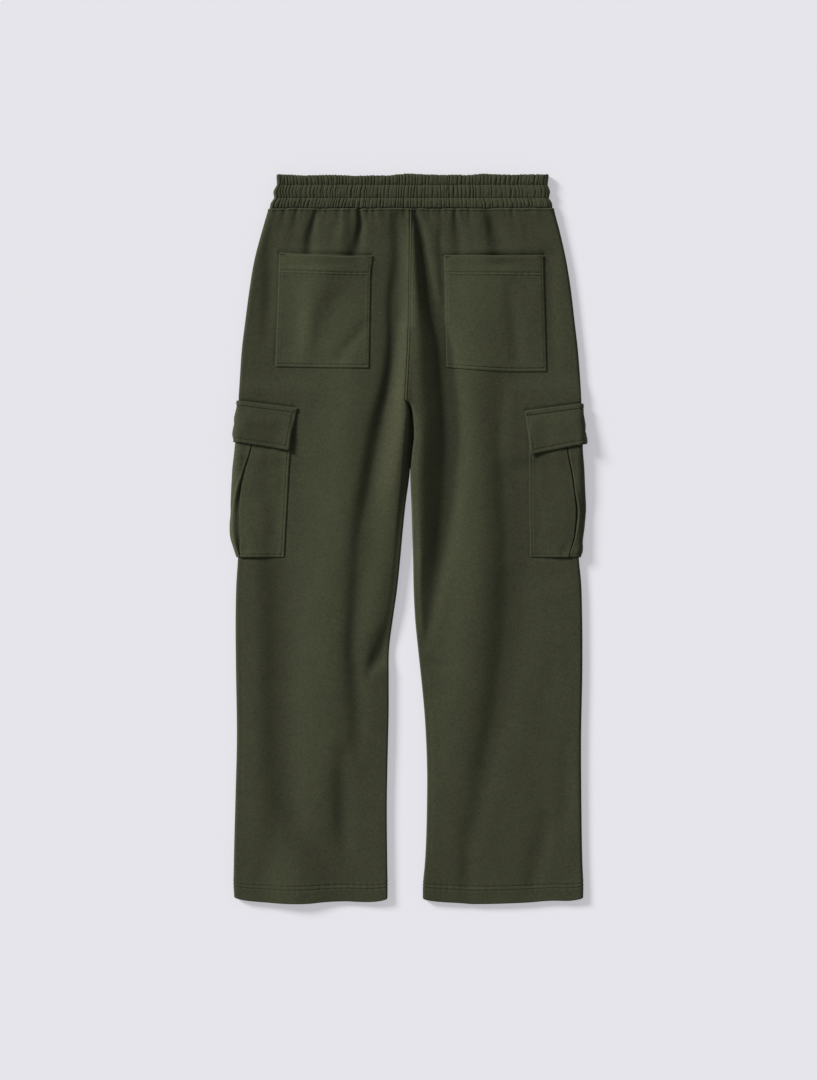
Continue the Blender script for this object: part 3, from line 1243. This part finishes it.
def cargoFlap(side, skin):
    shape = flap[side]
    width, length = shape["backTop"] + flap["frontReach"], shape["topY"] - shape["bottomY"]
    row, topRow = flap["edgeRow"], flap["topRow"]
    across = stopsAlong(width, (row, width - row), 2.6)
    down = stopsAlong(length, (topRow, length - row), 2.6)
    s, t = np.meshgrid(across, down)
    reachBack = shape["backTop"] + t / length * (shape["backBottom"] - shape["backTop"])
    girth = reachBack - s / width * (reachBack + flap["frontReach"])
    bow = shape["bow"] * np.sin(math.pi * t / length) * smooth(1 - s / 20)
    girth = girth + bow
    topLine = shape["topY"] + shape["topSlope"] * girth
    bottomLine = shape["bottomY"] + shape["bottomSlope"] * np.maximum(girth, -20)
    y = topLine + t / length * (bottomLine - topLine)
    toSide = np.minimum(s, width - s)
    toEdge = np.minimum(toSide, length - t)
    toAnyEdge = np.minimum(toEdge, t)
    corner = smooth(1 - s / 26) * smooth(t / length * 1.3)
    height = flapHeight(side, girth, y, t) + shape["cornerLift"] * corner
    topBand = smooth((topRow + 0.6 - t) / 1.2)
    raised = flap["topExtra"] * topBand + edgeRound(toAnyEdge, 1.4 * flap["wall"])
    raised = raised + stitchDip(t - topRow) * 1.3
    raised = raised + 0.4 * softNoise(girth, y, 15, 44) * smooth((toAnyEdge - 6) / 8)
    raised = raised + stitchDip(toSide - row) * smooth((length - row + 1 - t) / 2) * smooth((t - topRow) / 3)
    raised = raised + stitchDip(length - row - t) * smooth((toSide - row + 1.5) / 2)
    raised = raised + puckers(s, length - row - t, 41) + puckers(t, toSide - row, 42)
    raised = raised + puckers(s, t - topRow, 43)
    outside = skin.place(girth, y, height + flap["wall"] + raised)
    inside = skin.place(girth, y, height)
    outside[..., 2] = np.maximum(outside[..., 2], 0.0)
    inside[..., 2] = np.maximum(inside[..., 2], 0.6 * flap["wall"])
    nap = 0.25 * smooth((row - toEdge) / 2) * smooth(toAnyEdge / 1.5) + creaseNap(raised)
    node = "cargo_flap_" + side
    piece = doubleSkin(node + "_turned", outside, inside, nap, node, "pocket_fleece")
    skins = outside, inside
    columns = nearest(across, row), nearest(across, width - row)
    top, bottom = nearest(down, topRow), nearest(down, length - row)
    span = slice(columns[0], columns[1] + 1)
    runs = [stitchRow(skins, top, slice(2, -2)), stitchRow(skins, bottom, span)]
    runs += [stitchRow(skins, slice(top, bottom + 1), column) for column in columns]
    for column in (nearest(across, 4.5), nearest(across, width - 4.5)):
        runs += barTack(skins, nearest(down, 4.0), column, 0.1, length=6.0)
    sewing = sewRuns(node + "_stitching", runs)
    return piece, sewing


# ---- materials ----


class Signal:
    # a socket in a material's nodes; sums written on it add Math nodes
    def __init__(self, tree, socket=None):
        self.tree = tree
        self.socket = socket

    def add(self, kind, settings, inputs, output=0):
        # a node of any kind: its settings first, then the values or links of its sockets
        node = self.tree.nodes.new(kind)
        for name, value in settings.items():
            setattr(node, name, value)
        for name, value in inputs.items():
            if isinstance(value, Signal):
                self.tree.links.new(value.socket, node.inputs[name])
            else:
                node.inputs[name].default_value = value
        return Signal(self.tree, node.outputs[output])

    def maths(self, operation, first, second):
        return self.add("ShaderNodeMath", {"operation": operation}, {0: first, 1: second})

    def __add__(self, other):
        return self.maths("ADD", self, other)

    def __radd__(self, other):
        return self.maths("ADD", other, self)

    def __mul__(self, other):
        return self.maths("MULTIPLY", self, other)

    def __rmul__(self, other):
        return self.maths("MULTIPLY", other, self)

    def between(self, low, high):
        # 0 at low, 1 at high, and bounded
        sockets = {"Value": self, "From Min": low, "From Max": high}
        return self.add("ShaderNodeMapRange", {"clamp": True}, sockets)

    def mix(self, first, second):
        # this signal carries one colour over to the other
        sockets = {0: self, 6: first, 7: second}
        return self.add("ShaderNodeMix", {"data_type": "RGBA"}, sockets, output=2)


fleece = {
    "deep": (0.0225, 0.0243, 0.0112, 1),
    "light": (0.0430, 0.0453, 0.0224, 1),
    "napShare": 0.24,
    "finish": {
        "Roughness": 0.94,
        "Specular IOR Level": 0.25,
        "Sheen Weight": 0.12,
        "Sheen Roughness": 0.55,
        "Sheen Tint": (0.62, 0.66, 0.48, 1),
    },
    "napSize": 1.15,
    "fibreSize": 0.35,
    "walePitch": 1.1,
    "relief": 0.32,
}


def noiseOn(start, place, size, detail=2.0, roughness=0.55):
    sockets = {"Vector": place, "Scale": 1 / (size * millimetre), "Detail": detail, "Roughness": roughness}
    return start.add("ShaderNodeTexNoise", {}, sockets)


def stretched(start, place, scale, turn):
    # the same places, with a pattern drawn out along one way
    sockets = {"Vector": place, "Scale": scale, "Rotation": (0.0, 0.0, turn)}
    return start.add("ShaderNodeMapping", {}, sockets)


def newMaterial(name):
    # a material with its shader, a signal to start from and the place on the garment
    material = bpy.data.materials.new(name)
    material.use_nodes = True
    start = Signal(material.node_tree)
    place = start.add("ShaderNodeTexCoord", {}, {}, output=3)
    return material, material.node_tree.nodes["Principled BSDF"], start, place


def setShader(shader, values):
    for name, value in values.items():
        if isinstance(value, Signal):
            value.tree.links.new(value.socket, shader.inputs[name])
        else:
            shader.inputs[name].default_value = value


def fleeceMaterial(name, tone=1.0):
    # brushed fleece: a short uneven nap over faint knitted wales
    material, shader, start, place = newMaterial(name)
    nap = noiseOn(start, place, fleece["napSize"] * 2.2, 3.0, 0.6)
    combed = stretched(start, place, (1.0, 0.32, 1.0), 0.25)
    fibres = noiseOn(start, combed, fleece["fibreSize"] * 2.2, 3.0, 0.65)
    cloud = noiseOn(start, place, 34.0, 2.0, 0.5)
    patchy = noiseOn(start, place, 6.5, 2.0, 0.5)
    waves = {"Vector": place, "Scale": 0.32 / (fleece["walePitch"] * millimetre)}
    waves.update({"Distortion": 2.2, "Detail": 1.0})
    wales = start.add("ShaderNodeTexWave", {"bands_direction": "X"}, waves, output=1)
    brushed = start.add("ShaderNodeAttribute", {"attribute_name": "nap"}, {}, output=2)
    grain = nap * 0.48 + fibres * 0.3 + patchy * 0.13 + cloud * 0.09
    shade = grain.between(0.37, 0.63)
    deep = tuple(value * tone for value in fleece["deep"][:3]) + (1,)
    light = tuple(value * tone for value in fleece["light"][:3]) + (1,)
    body = shade.mix(deep, light)
    gain = brushed * fleece["napShare"] + 1.0
    colour = start.add("ShaderNodeVectorMath", {"operation": "SCALE"}, {0: body, "Scale": gain})
    relief = nap * 0.5 + fibres * 0.38 + wales * 0.08 + patchy * 0.3
    sockets = {"Height": relief, "Strength": 0.9, "Distance": fleece["relief"] * millimetre}
    bump = start.add("ShaderNodeBump", {}, sockets)
    setShader(shader, {"Base Color": colour, "Normal": bump, **fleece["finish"]})
    return material


sewingThread = {
    "dark": (0.018, 0.020, 0.010, 1),
    "light": (0.042, 0.046, 0.024, 1),
    "finish": {"Roughness": 0.55, "Specular IOR Level": 0.35},
    "twist": 0.5,
}


def threadMaterial():
    # spun polyester: fine twisted strands with a little shine
    material, shader, start, place = newMaterial("sewing thread")
    strands = noiseOn(start, stretched(start, place, (1.0, 1.0, 1.0), 0.6), sewingThread["twist"], 2.0)
    colour = strands.between(0.35, 0.65).mix(sewingThread["dark"], sewingThread["light"])
    sockets = {"Height": strands, "Strength": 0.6, "Distance": 0.1 * millimetre}
    bump = start.add("ShaderNodeBump", {}, sockets)
    setShader(shader, {"Base Color": colour, "Normal": bump, **sewingThread["finish"]})
    return material


# ---- the studio ----

studio = {
    "viewHeight": 1080 * 1.44,  # what the camera takes in, in millimetres on the garment
    "aim": (0.7, -1.8, 8.0),
    "lens": 110.0,
    "paper": {  # the table is lit from beneath too, which softens its shadows
        "Base Color": (0.40, 0.397, 0.421, 1),
        "Emission Color": (0.395, 0.392, 0.415, 1),
        "Emission Strength": 1.0,
        "Roughness": 1.0,
        "Specular IOR Level": 0.0,
    },
    "floorSize": 9.0,
    "sunHeight": 25.0,  # degrees above the floor
    "sunTurn": 144.0,  # the way it comes from, anticlockwise from +X
    "sunSoftness": 16.0,
    "sunStrength": 5.01,
    "skyStrength": 0.31,
    "skyColour": (1.0, 1.0, 1.0, 1),
}


def buildStudio():
    scene = bpy.context.scene
    shape = bmesh.new()
    bmesh.ops.create_grid(shape, x_segments=8, y_segments=8, size=studio["floorSize"] / 2)
    bmesh.ops.translate(shape, verts=shape.verts, vec=(0, 0, -0.0002))
    mesh = bpy.data.meshes.new("floor")
    shape.to_mesh(mesh)
    shape.free()
    floor = bpy.data.objects.new("floor", mesh)
    scene.collection.objects.link(floor)
    paper = bpy.data.materials.new("pale paper")
    paper.use_nodes = True
    setShader(paper.node_tree.nodes["Principled BSDF"], studio["paper"])
    mesh.materials.append(paper)

    lamp = bpy.data.lights.new("window", "SUN")
    lamp.energy = studio["sunStrength"]
    lamp.angle = math.radians(studio["sunSoftness"])
    window = bpy.data.objects.new("window", lamp)
    turn, height = math.radians(studio["sunTurn"]), math.radians(studio["sunHeight"])
    level = math.cos(height)
    towards = Vector((math.cos(turn) * level, math.sin(turn) * level, math.sin(height)))
    window.rotation_mode = "QUATERNION"
    window.rotation_quaternion = towards.to_track_quat("Z", "Y")
    scene.collection.objects.link(window)

    world = bpy.data.worlds.new("studio")
    scene.world = world
    world.use_nodes = True
    background = world.node_tree.nodes["Background"]
    background.inputs["Color"].default_value = studio["skyColour"]
    background.inputs["Strength"].default_value = studio["skyStrength"]

    optics = bpy.data.cameras.new("camera")
    optics.lens = studio["lens"]
    optics.sensor_fit = "AUTO"
    optics.sensor_width = 36.0
    camera = bpy.data.objects.new("camera", optics)
    distance = studio["viewHeight"] * studio["lens"] / optics.sensor_width
    aim = toFrame(np.array(studio["aim"]))
    camera.location = (aim[0], aim[1], aim[2] + distance * millimetre)
    scene.collection.objects.link(camera)
    scene.camera = camera
    scene.view_settings.view_transform = "Standard"
    scene.view_settings.look = "None"
    return floor


# ---- making everything ----

floor = buildStudio()
print("studio, floor and camera ready")

dressed = {"waistband": waistBand()}
print("waistband gathered")
for side in sides:
    dressed["front " + side] = legPanel(side, front=True)
    dressed["back " + side] = legPanel(side, front=False)
    print(side, "leg panels laid")
    dressed["seat pocket " + side] = seatPocket(side)
    skin = LegSkin(side, -32.0, 216.0)
    dressed["cargo pocket " + side] = cargoPocket(side, skin)
    dressed["cargo flap " + side] = cargoFlap(side, skin)
    print(side, "pockets and flap sewn on")

legFleece = fleeceMaterial("leg fleece")
bandFleece = fleeceMaterial("waistband fleece", tone=1.07)
pocketFleece = fleeceMaterial("pocket fleece")
matchingThread = threadMaterial()
fleeceOf = {"waistband": bandFleece, "front": legFleece, "back": legFleece}
for part, (piece, sewing) in dressed.items():
    piece.data.materials.append(fleeceOf.get(part.split()[0], pocketFleece))
    sewing.data.materials.append(matchingThread)
print("fleece and thread finished")
